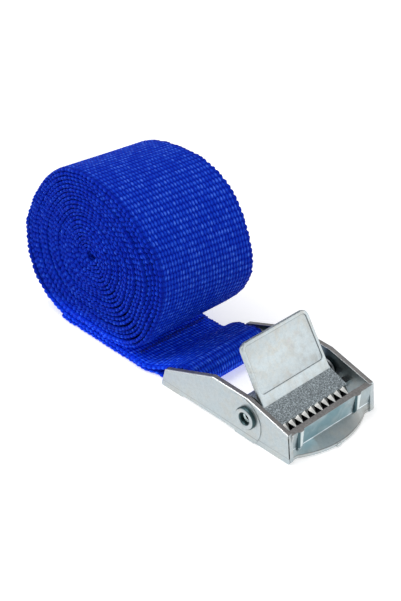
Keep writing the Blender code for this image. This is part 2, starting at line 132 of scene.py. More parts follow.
def hermite(xs, ys, x, period=None):
    """A smooth curve through points, periodic or not."""
    xs, ys, x = np.asarray(xs, float), np.asarray(ys, float), np.asarray(x, float)
    if period:
        xs = np.concatenate([xs[-2:] - period, xs, xs[:2] + period])
        ys = np.concatenate([ys[-2:], ys, ys[:2]])
        x = (x - xs[2]) % period + xs[2]
    slopes = np.gradient(ys, xs)
    k = np.clip(np.searchsorted(xs, x, side="right") - 1, 0, len(xs) - 2)
    h = xs[k + 1] - xs[k]
    t = (x - xs[k]) / h
    return ((2 * t ** 3 - 3 * t ** 2 + 1) * ys[k] + (t ** 3 - 2 * t ** 2 + t) * h * slopes[k]
            + (-2 * t ** 3 + 3 * t ** 2) * ys[k + 1] + (t ** 3 - t ** 2) * h * slopes[k + 1])


def at(x, z, y=0.0):
    """A point in metres from millimetres behind the walls' front corner."""
    return Vector(((FRONT_X + x) * MM, y * MM, z * MM))


def new_object(name, mesh):
    made = bpy.data.objects.new(name, mesh)
    bpy.context.scene.collection.objects.link(made)
    return made


def from_bmesh(name, shape):
    bmesh.ops.recalc_face_normals(shape, faces=shape.faces)
    mesh = bpy.data.meshes.new(name)
    shape.to_mesh(mesh)
    shape.free()
    return new_object(name, mesh)


def rounded(corners, steps=6):
    """A closed outline from (x, z, radius) corners, each corner an arc."""
    points = []
    for i, (x, z, radius) in enumerate(corners):
        here = Vector((x, z))
        before = (Vector(corners[i - 1][:2]) - here).normalized()
        after = (Vector(corners[(i + 1) % len(corners)][:2]) - here).normalized()
        half = before.angle(after) / 2
        if radius <= 0:
            points.append(here)
            continue
        middle = here + (before + after).normalized() * radius / math.sin(half)
        start = here + before * radius / math.tan(half) - middle
        end = here + after * radius / math.tan(half) - middle
        turn = start.angle_signed(end)
        for k in range(steps + 1):
            arm = start.copy()
            arm.rotate(Matrix.Rotation(-turn * k / steps, 2))
            points.append(middle + arm)
    return [(p.x, p.y) for p in points]


def loft(name, rings):
    """A closed solid through rings of points in metres, with flat ends."""
    shape = bmesh.new()
    loops = [[shape.verts.new(p) for p in ring] for ring in rings]
    count = len(rings[0])
    for here, there in zip(loops, loops[1:]):
        for k in range(count):
            j = (k + 1) % count
            shape.faces.new((here[k], here[j], there[j], there[k]))
    shape.faces.new(loops[0])
    shape.faces.new(loops[-1])
    return from_bmesh(name, shape)


def prism(name, outline, y_from, y_to):
    """An upright plate with its outline in X and Z, in millimetres."""
    return loft(name, [[at(x, z, y) for x, z in outline] for y in (y_from, y_to)])


def turned(name, profile, x, z, sides=64):
    """A closed solid turned round an axis along Y; the profile is (radius, y)."""
    shape = bmesh.new()
    rings = []
    for k in range(sides):
        a = 2 * math.pi * k / sides
        rings.append([shape.verts.new(at(x + r * math.cos(a), z + r * math.sin(a), y))
                      for r, y in profile])
    count = len(profile)
    for k in range(sides):
        here, there = rings[k], rings[(k + 1) % sides]
        for i in range(count):
            j = (i + 1) % count
            shape.faces.new((here[i], here[j], there[j], there[i]))
    return from_bmesh(name, shape)


def rod(name, x, z, radius, y_from, y_to, sides=48):
    outline = [(x + radius * math.cos(2 * math.pi * k / sides),
                z + radius * math.sin(2 * math.pi * k / sides)) for k in range(sides)]
    return prism(name, outline, y_from, y_to)


def apply(target):
    """Makes an object's modifiers its own mesh."""
    bpy.context.view_layer.update()
    graph = bpy.context.evaluated_depsgraph_get()
    mesh = bpy.data.meshes.new_from_object(target.evaluated_get(graph))
    target.modifiers.clear()
    target.data = mesh
    return target


def bevel(target, width, segments=2, angle=25):
    edge = target.modifiers.new("edges", "BEVEL")
    edge.width = width * MM
    edge.segments = segments
    edge.limit_method = "ANGLE"
    edge.angle_limit = math.radians(angle)
    return apply(target)


def combine(target, other, operation="UNION"):
    change = target.modifiers.new("join", "BOOLEAN")
    change.operation = operation
    change.solver = "EXACT"
    change.object = other
    apply(target)
    bpy.data.objects.remove(other)
    return target


def smooth(target, angle=32):
    target.data.shade_smooth()
    target.data.set_sharp_from_angle(angle=math.radians(angle))
    return target


def dress(target, look, body, slot, *nodes):
    """Gives a piece its material and its body, and hides the CAD nodes that it stands for."""
    target.data.materials.clear()
    target.data.materials.append(look)
    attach(target, body)
    if nodes:
        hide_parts(*nodes)
    return target


# ---------------------------------------------------------------- materials

class Nodes:
    """A short way to write a material's node tree."""

    def __init__(self, name):
        self.material = bpy.data.materials.new(name)
        self.material.use_nodes = True
        self.tree = self.material.node_tree
        self.shader = self.tree.nodes["Principled BSDF"]

    def add(self, kind, inputs=None, **settings):
        node = self.tree.nodes.new(kind)
        for key, value in settings.items():
            setattr(node, key, value)
        for key, value in (inputs or {}).items():
            if isinstance(value, bpy.types.NodeSocket):
                self.tree.links.new(value, node.inputs[key])
            else:
                node.inputs[key].default_value = value
        return node

    def set(self, **values):
        for key, value in values.items():
            socket = self.shader.inputs[key.replace("_", " ")]
            if isinstance(value, bpy.types.NodeSocket):
                self.tree.links.new(value, socket)
            else:
                socket.default_value = value

    def noise(self, scale, detail=3.0, roughness=0.5, distortion=0.0, vector=None):
        inputs = {"Scale": scale, "Detail": detail, "Roughness": roughness, "Distortion": distortion}
        if vector:
            inputs["Vector"] = vector
        return self.add("ShaderNodeTexNoise", inputs).outputs["Fac"]

    def ramp(self, value, stops):
        node = self.add("ShaderNodeValToRGB", {"Fac": value})
        elements = node.color_ramp.elements
        while len(elements) < len(stops):
            elements.new(0.5)
        for element, (place, colour) in zip(elements, stops):
            element.position = place
            element.color = (*colour, 1.0)
        return node.outputs["Color"]

    def spread(self, value, low, high, out_low=0.0, out_high=1.0):
        node = self.add("ShaderNodeMapRange", {
            "Value": value, "From Min": low, "From Max": high, "To Min": out_low, "To Max": out_high,
        }, interpolation_type="SMOOTHSTEP")
        return node.outputs["Result"]

    def mix(self, share, a, b, blend="MIX"):
        # a Mix node's colours are its inputs 6 and 7, and its mixed colour is output 2
        node = self.add("ShaderNodeMix", data_type="RGBA", blend_type=blend)
        for index, value in ((0, share), (6, a), (7, b)):
            if isinstance(value, bpy.types.NodeSocket):
                self.tree.links.new(value, node.inputs[index])
            else:
                node.inputs[index].default_value = value if index == 0 else (*value, 1.0)
        return node.outputs[2]

    def math(self, operation, a, b=0.0):
        node = self.add("ShaderNodeMath", {0: a, 1: b}, operation=operation)
        return node.outputs["Value"]

    def bump(self, height, strength, distance, normal=None):
        inputs = {"Height": height, "Strength": strength, "Distance": distance * MM}
        if normal:
            inputs["Normal"] = normal
        return self.add("ShaderNodeBump", inputs).outputs["Normal"]


class Casting(Nodes):
    """Bright zinc plate on a casting, with masks by place and by the way a face looks.

    A mask goes from 0 at its first limit to 1 at its second, unless other values are given.
    """

    def __init__(self, name):
        super().__init__(name)
        coordinates = self.add("ShaderNodeTexCoord").outputs
        self.place = coordinates["Object"]
        where = self.add("ShaderNodeSeparateXYZ", {"Vector": self.place}).outputs
        facing = self.add("ShaderNodeSeparateXYZ", {"Vector": coordinates["Normal"]}).outputs
        self.x, self.y, self.z = where["X"], where["Y"], where["Z"]
        self.faces_x, self.faces_y, self.faces_z = facing["X"], facing["Y"], facing["Z"]
        self.side = self.math("ABSOLUTE", self.y)
        cloud = self.noise(430, 4, 0.62, 0.2, self.place)
        broad = self.noise(70, 2, 0.5, 0.0, self.place)
        cast = self.noise(1100, 4, 0.65, 0.3, self.place)
        fine = self.noise(3200, 3, 0.6, 0.0, self.place)
        self.colour = self.ramp(cloud, [
            (0.32, (0.405, 0.480, 0.510)), (0.43, (0.450, 0.505, 0.525)),
            (0.52, (0.475, 0.515, 0.520)), (0.62, (0.495, 0.505, 0.470)),
            (0.70, (0.490, 0.480, 0.490)),
        ])
        self.paint(self.spread(broad, 0.35, 0.65, 0.0, 0.5), (0.445, 0.505, 0.530))
        self.paint(self.spread(cast, 0.40, 0.66, 0.0, 0.34), (0.34, 0.385, 0.405))
        self.paint(self.spread(fine, 0.4, 0.7, 0.0, 0.30), (0.60, 0.62, 0.61))
        self.rough = self.spread(cloud, 0.3, 0.7, 0.30, 0.42)
        self.normal = self.bump(cast, 0.35, 0.10)

    def paint(self, share, colour, strength=1.0):
        self.colour = self.mix(self.math("MULTIPLY", share, strength), self.colour, colour)

    def all(self, first, *others):
        """A mask where every mask holds."""
        for other in others:
            first = self.math("MULTIPLY", first, other)
        return first

    def within(self, value, low, high, *outs):
        """A mask by a place, with its limits in millimetres."""
        return self.spread(value, low * MM, high * MM, *outs)

    def behind(self, low, high, *outs):
        """A mask along X, with its limits from the walls' lower front corner."""
        return self.within(self.x, FRONT_X + low, FRONT_X + high, *outs)

    def line(self, value, middle, faint, full, *outs):
        """A mask round one place: full out to one distance from it, and gone at another."""
        off = self.math("ABSOLUTE", self.math("SUBTRACT", value, middle * MM))
        return self.within(off, faint, full, *outs)

    def roughen(self, where, grain_size, tone, low, high, depth):
        """Rough dark faces: a tone for the middle of the grain, and shares of it at both ends."""
        grain = self.noise(grain_size, 5, 0.72, 0.2, self.place)
        stops = [(at_height, tuple(share * part for part in tone))
                 for at_height, share in ((0.34, low), (0.50, 1.0), (0.66, high))]
        self.paint(where, self.ramp(grain, stops))
        self.rough = self.math("ADD", self.rough, self.math("MULTIPLY", where, 0.22))
        self.normal = self.bump(self.math("MULTIPLY", grain, where), depth, 0.10, self.normal)

    def finished(self):
        self.set(Base_Color=self.colour, Metallic=1.0, Roughness=self.rough, Normal=self.normal)
        return self.material


def tint_front_wall(n):
    """A blue-green painted reflection on the panel and apron, ribs with painted shade on their dark
    flanks and painted highlights on their bright fronts, a painted highlight along the bright fold, and a
    dim rim line of painted shade.
    """
    forward = n.behind(-3.0, -1.5)
    between = n.within(n.side, 13.5, 13.2)
    looks_out = n.all(n.spread(n.faces_x, 0.10, 0.35), n.spread(n.faces_y, -0.75, -0.55))
    panel = n.all(looks_out, forward, between, n.within(n.z, 1.15, 1.35))
    patchy = n.spread(n.noise(150, 2, 0.5, 0.4, n.place), 0.35, 0.6, 0.55, 1.0)
    middle = n.line(n.y, -2.5, 11.0, 6.0, 0.3, 1.0)
    less_on_apron = n.spread(n.faces_z, 0.5, 0.85, 1.0, 0.45)
    # painted reflection: a blue-green tint on the panel and apron
    n.paint(n.all(panel, middle, patchy, less_on_apron), (0.15, 0.275, 0.315), 0.85)
    # painted shade: the ribs' flanks, which face away from the light, are darkened
    shaded_flank = n.all(n.spread(n.faces_y, -0.30, -0.60), forward, between, n.within(n.z, 2.2, 3.2))
    n.paint(shaded_flank, (0.035, 0.085, 0.10), 0.9)
    # painted highlight: a bright line along the fold
    level = n.math("ADD", n.z, n.math("MULTIPLY", n.y, FOLD_FALL))
    fold = n.all(n.line(level, FOLD_Z, 0.13, 0.06), forward, between, n.spread(n.faces_x, 0.35, 0.6))
    n.paint(n.all(fold, n.spread(patchy, 0.55, 1.0, 0.95, 0.6)), (0.88, 0.96, 1.0))
    upright = n.math("ADD", n.x, n.math("MULTIPLY", n.z, -PANEL_LEAN))
    proud = n.within(upright, FRONT_X - 1.10, FRONT_X - 0.90)
    # painted highlight on the ribs' fronts
    rib_front_highlight = n.all(proud, between, n.within(n.z, 3.9, 4.3), n.spread(n.faces_y, -0.5, -0.1))
    n.paint(rib_front_highlight, (0.78, 0.84, 0.84), 0.8)
    warm = n.all(n.within(n.y, -4, 9), n.within(n.z, 3.4, 1.9), between, n.behind(-1, -0.6))
    n.paint(warm, (0.44, 0.42, 0.39), 0.5)
    # painted shade: a dim line along the rim's top edge
    n.paint(n.all(n.line(n.z, 1.22, 0.14, 0.06), forward, between), (0.10, 0.085, 0.075), 0.6)
    n.rough = n.math("ADD", n.rough, n.math("MULTIPLY", panel, 0.16))


def tint_walls(n):
    """Painted shade on the dim streaked insides, painted highlights on the bright rounded edges, and
    painted shade as a dark parting line and as dark front corners.
    """
    inward = n.spread(n.math("MULTIPLY", n.faces_y, n.y), -0.004, -0.010)
    stretched = n.add("ShaderNodeMapping", {"Vector": n.place, "Scale": (160, 160, 60)}).outputs["Vector"]
    shade_streaks = n.spread(n.noise(1.0, 4, 0.6, 0.3, stretched), 0.42, 0.62, 0.9, 0.55)
    # painted shade: the walls' inner faces are darkened in uneven streaks
    inside = n.all(inward, n.behind(-22, -1, 1.0, 0.25), n.within(n.side, 13.0, 13.2))
    n.paint(n.all(inside, shade_streaks), (0.06, 0.125, 0.145))
    # painted highlight on the rounded edges that face the near side and up
    slanted = n.all(n.spread(n.faces_z, 0.25, 0.4), n.spread(n.faces_z, 0.93, 0.86))
    edge = n.all(n.spread(n.faces_y, -0.25, -0.45), slanted, n.within(n.z, 4.5, 5.0))
    n.paint(edge, (0.86, 0.89, 0.90), 0.8)
    # painted shade: a dark line in the step along the parting line
    parting = n.all(n.line(n.z, BAND_Z - 0.02, 0.13, 0.05), n.within(n.side, 14.5, 14.6))
    n.paint(parting, (0.10, 0.11, 0.115), 0.5)
    # painted shade: a dark, uneven line along the walls' front corners
    turned_out = n.math("MULTIPLY", n.faces_x, n.math("ABSOLUTE", n.faces_y))
    uneven_corner_shade = n.spread(n.noise(800, 2, 0.5, 0.0, n.place), 0.3, 0.5, 0.5, 1.0)
    n.paint(n.all(n.spread(turned_out, 0.26, 0.40), n.within(n.side, 14.2, 14.35), uneven_corner_shade),
            (0.02, 0.02, 0.022))


def frame_plate():
    n = Casting("zinc_plate")
    tint_front_wall(n)
    tint_walls(n)
    tops = n.all(n.spread(n.faces_z, 0.86, 0.93), n.within(n.z, 3.6, 4.4, 0.0, 0.9))
    n.roughen(tops, 1500, (0.2862, 0.27, 0.2646), 0.78, 1.3, 0.35)
    # painted shade on the top faces under the lever
    shade_under_lever = n.all(n.within(n.z, 6.4, 6.2), n.behind(-12, -11.5), n.behind(-3.2, -3.4),
                        n.within(n.side, 13.4, 13.3), n.spread(n.faces_z, 0.5, 0.6))
    n.paint(shade_under_lever, (0.025, 0.030, 0.034), 0.9)
    return n.finished()


def lever_plate():
    """The lever's plate is bright, its ramp is rough, and its teeth are painted: black painted shade in
    their gaps, painted highlights on their lit sides and grey painted shade on their shaded sides.
    """
    n = Casting("zinc_plate_cam")
    # painted light on the teeth: black for the shade in their gaps, white highlights on the sides facing
    # the near side and up, grey on the shaded sides
    in_teeth = n.behind(RAMP_END[0] - 0.02, RAMP_END[0] + 0.06)
    lit = n.all(n.spread(n.faces_y, -0.12, -0.30), n.spread(n.faces_z, 0.35, 0.55))
    shady = n.all(n.spread(n.faces_y, 0.12, 0.30), n.spread(n.faces_z, 0.5, 0.7))
    n.paint(in_teeth, (0.012, 0.014, 0.016))
    n.paint(n.all(in_teeth, lit), (0.95, 0.95, 0.92))
    n.paint(n.all(in_teeth, shady), (0.22, 0.23, 0.225))
    shade_panel_outline(n)
    ramp = n.all(n.spread(n.faces_z, 0.74, 0.86), n.within(n.z, 7.25, 7.4),
                 n.behind(RAMP_END[0] + 0.02, RAMP_END[0] - 0.08))
    n.roughen(ramp, 3000, (0.29, 0.3277, 0.348), 0.38, 2.4, 0.9)
    return n.finished()


def shade_panel_outline(n):
    """A dim line of painted shade round the thumb plate's sunk panel, from the distance to its rounded
    outline.
    """
    crease, top = at(*CREASE), at(*PLATE_TOP)
    up = (top - crease).normalized()
    out = Vector((0, 1, 0)).cross(up)
    length = (top - crease).length
    low, high = LEVER_Y
    apart = n.add("ShaderNodeVectorMath", {0: n.place, 1: crease}, operation="SUBTRACT").outputs["Vector"]
    v, w = (n.add("ShaderNodeVectorMath", {0: apart, 1: way}, operation="DOT_PRODUCT").outputs["Value"]
            for way in (up, out))
    off = n.math("ABSOLUTE", n.math("SUBTRACT", n.y, (low + high) / 2 * MM))
    narrowing = n.math("MULTIPLY", v, PLATE_TAPER * MM / length)
    to_side = n.math("SUBTRACT", ((high - low) / 2 - PANEL_MARGIN) * MM, n.math("ADD", off, narrowing))
    to_end = n.math("MINIMUM", n.math("SUBTRACT", length - PANEL_MARGIN * MM, v),
                    n.math("SUBTRACT", v, PANEL_FOOT * MM))
    radius = 0.95 * MM
    legs = []
    for distance in (to_side, to_end):
        short = n.math("MAXIMUM", n.math("SUBTRACT", radius, distance), 0.0)
        legs.append(n.math("POWER", short, 2.0))
    rounded_off = n.math("SUBTRACT", radius, n.math("SQRT", n.math("ADD", *legs)))
    # painted shade along the sunk panel's step
    n.paint(n.all(n.line(rounded_off, 0, 0.15, 0.06), n.within(w, -0.6, -0.5)), (0.17, 0.19, 0.20), 0.55)


def rivet_plate():
    """Painted shade as dark rims round the heads' faces, and a painted highlight on a bright shoulder
    down in the bore.
    """
    n = Casting("zinc_plate_rivet")
    # painted shade on the heads' rolled rims
    n.paint(n.within(n.side, 15.87, 15.78), (0.022, 0.060, 0.068), 0.93)
    # painted highlight on the shoulder down in the bore
    n.paint(n.line(n.side, 14.5, 0.16, 0.10), (0.80, 0.92, 0.92))
    return n.finished()


def steel_wire():
    n = Nodes("spring_wire")
    place = n.add("ShaderNodeTexCoord").outputs["Object"]
    drawn = n.noise(900, 4, 0.6, 0.0, place)
    n.set(Base_Color=n.ramp(drawn, [(0.3, (0.16, 0.17, 0.18)), (0.7, (0.36, 0.37, 0.38))]),
          Metallic=1.0, Roughness=n.spread(drawn, 0.3, 0.7, 0.28, 0.45),
          Normal=n.bump(drawn, 0.2, 0.03))
    return n.material


def float_height(n, along, across):
    """Height of the nearest warp float, 0 to 1, from rows along and ends across."""
    heights = []
    for shift in (0.5, 1.5):
        row = n.math("SUBTRACT", n.math("FLOORED_MODULO", n.math("ADD", along, 1.0 - shift), 2.0), 1.0)
        lean = n.math("ADD", across, n.math("MULTIPLY", row, FLOAT_SLANT))
        end = n.math("SUBTRACT", n.math("FLOORED_MODULO", n.math("ADD", lean, 1.0 - shift), 1.0), 0.5)
        row = n.math("DIVIDE", row, FLOAT_LONG)
        end = n.math("DIVIDE", end, FLOAT_WIDE)
        spread = n.math("ADD", n.math("MULTIPLY", row, row), n.math("MULTIPLY", end, end))
        heights.append(n.math("SUBTRACT", 1.0, spread))
    tallest = n.math("MAXIMUM", n.math("MAXIMUM", *heights), 0.0)
    return n.math("SQRT", tallest)


def webbing_cloth():
    """Royal blue polyester: short floats that catch the light, with deep blue gaps between them; the
    colour follows the floats' height, with painted highlights on their tops and painted shade in the
    gaps.
    """
    n = Nodes("blue_webbing")
    flat = n.add("ShaderNodeUVMap", uv_map="weave").outputs["UV"]
    axes = n.add("ShaderNodeSeparateXYZ", {"Vector": flat}).outputs
    relief = n.add("ShaderNodeAttribute", attribute_name="relief").outputs["Fac"]
    edge = n.add("ShaderNodeAttribute", attribute_name="edge").outputs["Fac"]
    floats = float_height(n, axes["Y"], axes["X"])
    face = n.math("MULTIPLY", floats, n.math("SUBTRACT", 1.0, edge))
    lifted = n.math("ADD", n.math("MULTIPLY", relief, 0.72), 0.26)
    height = n.math("ADD", face, n.math("MULTIPLY", lifted, edge))
    brick = n.add("ShaderNodeTexBrick", {
        "Vector": flat, "Color1": (0.0, 0.0, 0.0, 1), "Color2": (1.0, 1.0, 1.0, 1),
        "Mortar": (0.5, 0.5, 0.5, 1), "Scale": 1.0, "Mortar Size": 0.0, "Mortar Smooth": 0.0,
        "Bias": 0.0, "Brick Width": 1.0, "Row Height": 1.0}, offset=0.5)
    yarn = n.add("ShaderNodeSeparateColor", {"Color": brick.outputs["Color"]}).outputs["Red"]
    stretched = n.add("ShaderNodeMapping", {"Vector": flat, "Scale": (3.4, 1.1, 1.0)}).outputs["Vector"]
    strands = n.noise(1.0, 3, 0.6, 0.3, stretched)
    height = n.math("ADD", height, n.spread(strands, 0.3, 0.7, -0.16, 0.10))
    height = n.math("ADD", height, n.spread(yarn, 0.0, 1.0, -0.14, 0.05))
    # the yarn's blue, darker in the gaps as painted shade and lighter and whiter on the float tops as a
    # painted highlight
    colour = n.ramp(height, [
        (0.15, (0.0002, 0.0065, 0.285)), (0.50, (0.0010, 0.0185, 0.395)),
        (0.80, (0.0045, 0.0420, 0.510)), (0.94, (0.0190, 0.0860, 0.620)),
        (1.00, (0.0600, 0.1550, 0.740)),
    ])
    broad = n.noise(150, 3, 0.6)
    colour = n.mix(n.spread(broad, 0.35, 0.7, 0.0, 0.25), colour, (0.0012, 0.0170, 0.370))
    # painted light: the webbing's lowest 3 to 8 mm is lightened, standing in for light on the plies
    ground = n.add("ShaderNodeSeparateXYZ", {
        "Vector": n.add("ShaderNodeTexCoord").outputs["Object"]}).outputs["Z"]
    colour = n.mix(n.spread(ground, 8 * MM, 3 * MM), colour, (2.2, 2.15, 1.95), "MULTIPLY")
    normal = n.bump(floats, 0.8, 0.30)
    normal = n.bump(strands, 0.5, 0.06, normal)
    n.set(Base_Color=colour, Roughness=n.spread(strands, 0.3, 0.7, 0.62, 0.50), Normal=normal,
          Specular_IOR_Level=0.04)
    return n.material


def thread_cloth():
    n = Nodes("blue_thread")
    place = n.add("ShaderNodeTexCoord").outputs["Object"]
    twist = n.add("ShaderNodeTexWave", {
        "Vector": place, "Scale": 900.0, "Distortion": 1.0}, bands_direction="DIAGONAL").outputs["Fac"]
    n.set(Base_Color=n.ramp(twist, [(0.0, (0.002, 0.014, 0.22)), (1.0, (0.008, 0.05, 0.55))]),
          Roughness=n.spread(twist, 0.0, 1.0, 0.6, 0.45), Normal=n.bump(twist, 0.4, 0.04))
    return n.material


def floor_paper():
    n = Nodes("pale_floor")
    fibre = n.noise(60, 4, 0.5)
    n.set(Base_Color=n.ramp(fibre, [(0.0, (0.70, 0.70, 0.70)), (1.0, (0.73, 0.73, 0.73))]),
          Roughness=0.85, Specular_IOR_Level=0.1, Emission_Color=(1, 1, 1, 1), Emission_Strength=0.52)
    return n.material


# ---------------------------------------------------------------- buckle frame

def side_wall(name):
    """The near wall, with a raised pad round the pin and a step along the parting line."""
    wall = bevel(prism(name, rounded(WALL_OUTLINE), -(WALL_OUTER_Y - 0.02), -WALL_INNER_Y), 0.34, 3)
    upper = [(-0.16, BAND_Z, 0.0)] + [(x, max(z, BAND_Z), r) for x, z, r in WALL_OUTLINE[1:5]]
    upper += [(-42.8, BAND_Z, 0.0)]
    skin = prism(name + "_skin", rounded(upper), -(WALL_OUTER_Y + 0.13), -(WALL_OUTER_Y - 0.4))
    combine(wall, bevel(skin, 0.34, 3))
    disc = [(PAD[0] + PAD_R * math.cos(2 * math.pi * k / 96),
             PAD[1] + PAD_R * math.sin(2 * math.pi * k / 96)) for k in range(96)]
    pad = prism(name + "_pad", disc, -WALL_OUTER_Y, -(WALL_OUTER_Y - 0.4))
    for v in pad.data.vertices:
        if v.co.y < -(WALL_OUTER_Y - 0.1) * MM:
            from_rear = v.co.x / MM - FRONT_X + 22.0
            v.co.y = -(WALL_OUTER_Y + 0.08 + 0.020 * from_rear) * MM
    keep = [(-0.4, 0.12), (-1.0, 7.9), (-14.0, 11.4), (-27.0, 11.4), (-27.0, 0.62), (-18.2, 0.62),
            (-17.5, 0.12)]
    combine(pad, prism("keep", keep, -17, -13.8), "INTERSECT")
    return combine(wall, pad)


def mirrored(original, name):
    """A copy on the other side of the part's middle plane."""
    shape = bmesh.new()
    shape.from_mesh(original.data)
    for v in shape.verts:
        v.co.y = -v.co.y
    bmesh.ops.reverse_faces(shape, faces=shape.faces)
    mesh = bpy.data.meshes.new(name)
    shape.to_mesh(mesh)
    shape.free()
    return new_object(name, mesh)


def corner_arc(corner, before, after, radius, steps=4):
    """Points of a fillet at a corner between two neighbours, all as (x, z)."""
    here, a, b = Vector(corner), Vector(before), Vector(after)
    first, last = (a - here).normalized(), (b - here).normalized()
    reach = radius / math.tan(first.angle(last) / 2)
    start, end = here + first * reach, here + last * reach
    points = []
    for k in range(steps + 1):
        t = k / steps
        points.append(tuple((1 - t) ** 2 * start + 2 * t * (1 - t) * here + t * t * end))
    return points


def front_wall():
    """A bar on top, a panel under it, a crease, and an apron out to a curved lip with a rim."""
    stations = 65
    rings = []
    for k in range(stations):
        y = -ROOT_Y + 2 * ROOT_Y * k / (stations - 1)
        lip = max(2.95 - 3.9 * (y / 12.5) ** 2, -0.55)
        crease, edge = (-0.84, FOLD_Z - FOLD_FALL * y), (lip, 1.25)
        section = [(-2.25, 7.95), (-2.1, 8.15)]
        section += corner_arc((-0.30, 8.15), (-1.8, 8.15), (-0.42, 6.0), 0.32)
        section += [(crease[0] + 0.01, crease[1] + 0.10), (crease[0] + 0.06, crease[1] - 0.03)]
        section += corner_arc(edge, crease, (lip + 0.02, 0.3), 0.16, 3)
        section += [(lip + 0.02, 0.36), (lip - 0.10, 0.24), (lip - 1.0, 0.24),
                    (-1.75, 2.6), (-2.25, 3.2)]
        rings.append([at(x, z, y) for x, z in section])
    return loft("front_wall", rings)


def front_rib(name, top_y, foot_y, foot_z):
    """A tapering fin that stands out of the front panel, with a rounded face."""
    rings = []
    for k in range(13):
        share = k / 12
        z = foot_z + (8.12 - foot_z) * share
        y = foot_y + (top_y - foot_y) * share
        half = 0.50 + 0.55 * share
        front = -1.05 + 1.55 * min(1.0, share * 3.0) ** 0.6
        outline = [(-2.2, -half)]
        outline += [(front - 0.34 * half - 0.66 * half * (1 - math.cos(a)), half * math.sin(a))
                    for a in np.radians([-80, -50, -25, 0, 25, 50, 80])]
        outline += [(-2.2, half)]
        rings.append([at(x, z, y + side) for x, side in outline])
    return loft(name, rings)


def nub():
    outline = [(1.9, 0.25), (3.25, 0.25), (3.3, 0.5), (3.05, 0.95), (1.9, 1.1)]
    return bevel(prism("nub", outline, -2.1, -0.5), 0.12, 2)


def buckle_frame(look):
    made = side_wall("buckle_frame_detail")
    combine(made, mirrored(made, "far_wall"))
    combine(made, front_wall())
    combine(made, front_rib("near_rib", -11.0, -11.4, 1.6))
    combine(made, front_rib("far_rib", 8.6, 8.0, 1.9))
    combine(made, nub())
    combine(made, rod("rear_bar", *BAR, BAR_R, -ROOT_Y, ROOT_Y))
    ledge = [(-9.4, 4.5), (-7.3, 4.5), (-7.3, 5.9), (-9.4, 5.9)]
    combine(made, bevel(prism("ledge", ledge, 11.8, ROOT_Y), 0.15, 1))
    combine(made, rod("pin_hole", *PIN, PIN_HOLE_R, -20, 20), "DIFFERENCE")
    return dress(smooth(made), look, "buckle", "zinc", "buckle_frame")


def pivot_pin(look):
    """A hollow rivet with a rolled head at each end; the near head has a nick in its rim."""
    head, edge = 2.95, 15.93
    half = [
        (0.95, 0.0), (0.95, edge - 1.5), (1.40, edge - 1.35), (1.46, edge - 0.5),
        (1.62, edge - 0.16), (1.95, edge), (2.45, edge), (2.72, edge - 0.10),
        (2.90, edge - 0.30), (head, edge - 0.55), (head - 0.04, edge - 0.95),
        (head - 0.12, edge - 1.04), (2.0, edge - 1.04), (2.0, 0.0),
    ]
    inner = [(r, y) for r, y in half[:-1] if y > 0]
    profile = [(r, -y) for r, y in reversed(inner)] + inner
    pin = turned("pivot_pin_detail", profile, *PIN, sides=72)
    nick = prism("nick", [(-16.6, 8.3), (-15.7, 9.0), (-15.3, 8.6), (-16.2, 7.9)], -17, -15.62)
    combine(pin, nick, "DIFFERENCE")
    return dress(smooth(pin, 40), look, "buckle", "zinc", "pivot_pin")


# ---------------------------------------------------------------- cam lever

def plate_frame():
    crease, top = at(*CREASE), at(*PLATE_TOP)
    up = (top - crease).normalized()
    across = Vector((0, 1, 0))
    out = across.cross(up)
    basis = Matrix((across, up, out)).transposed().to_4x4()
    return Matrix.Translation(crease) @ basis, (top - crease).length / MM


def slab(name, corners, w_from, w_to, steps=8):
    """A rounded plate in the thumb plate's own frame: u across, v up, w out of its face."""
    basis, _ = plate_frame()
    outline = rounded(corners, steps)
    return loft(name, [[basis @ Vector((u * MM, v * MM, w * MM)) for u, v in outline]
                       for w in (w_from, w_to)])


def tooth(name, y):
    """A crowned wedge: its ridge runs on from the ramp, bends down, and narrows to a low tip."""
    rings = []
    for x, low, side, top, half in (
            (-5.6, 4.6, 7.30, 7.72, 1.07), (-5.2, 4.5, 7.08, 7.56, 0.98), (-4.6, 4.6, 6.75, 7.25, 0.70),
            (-4.1, 4.8, 6.50, 6.95, 0.42), (-3.5, 5.1, 6.25, 6.50, 0.14)):
        rings.append([at(x, low, y - half), at(x, low, y + half), at(x, side, y + half),
                      at(x, top, y), at(x, side, y - half)])
    return loft(name, rings)


def valley(name, y):
    """The cast fillet at the foot of the gap between two teeth."""
    points = [(-5.6, 6.4, -0.75), (-5.6, 6.4, 0.75), (-4.6, 5.7, -0.42), (-4.6, 5.7, 0.42)]
    low = [at(x, z - 1.4, y + side) for x, z, side in points]
    high = [at(x, z, y + side) for x, z, side in points]
    return loft(name, [[low[0], low[1], low[3], low[2]], [high[0], high[1], high[3], high[2]]])


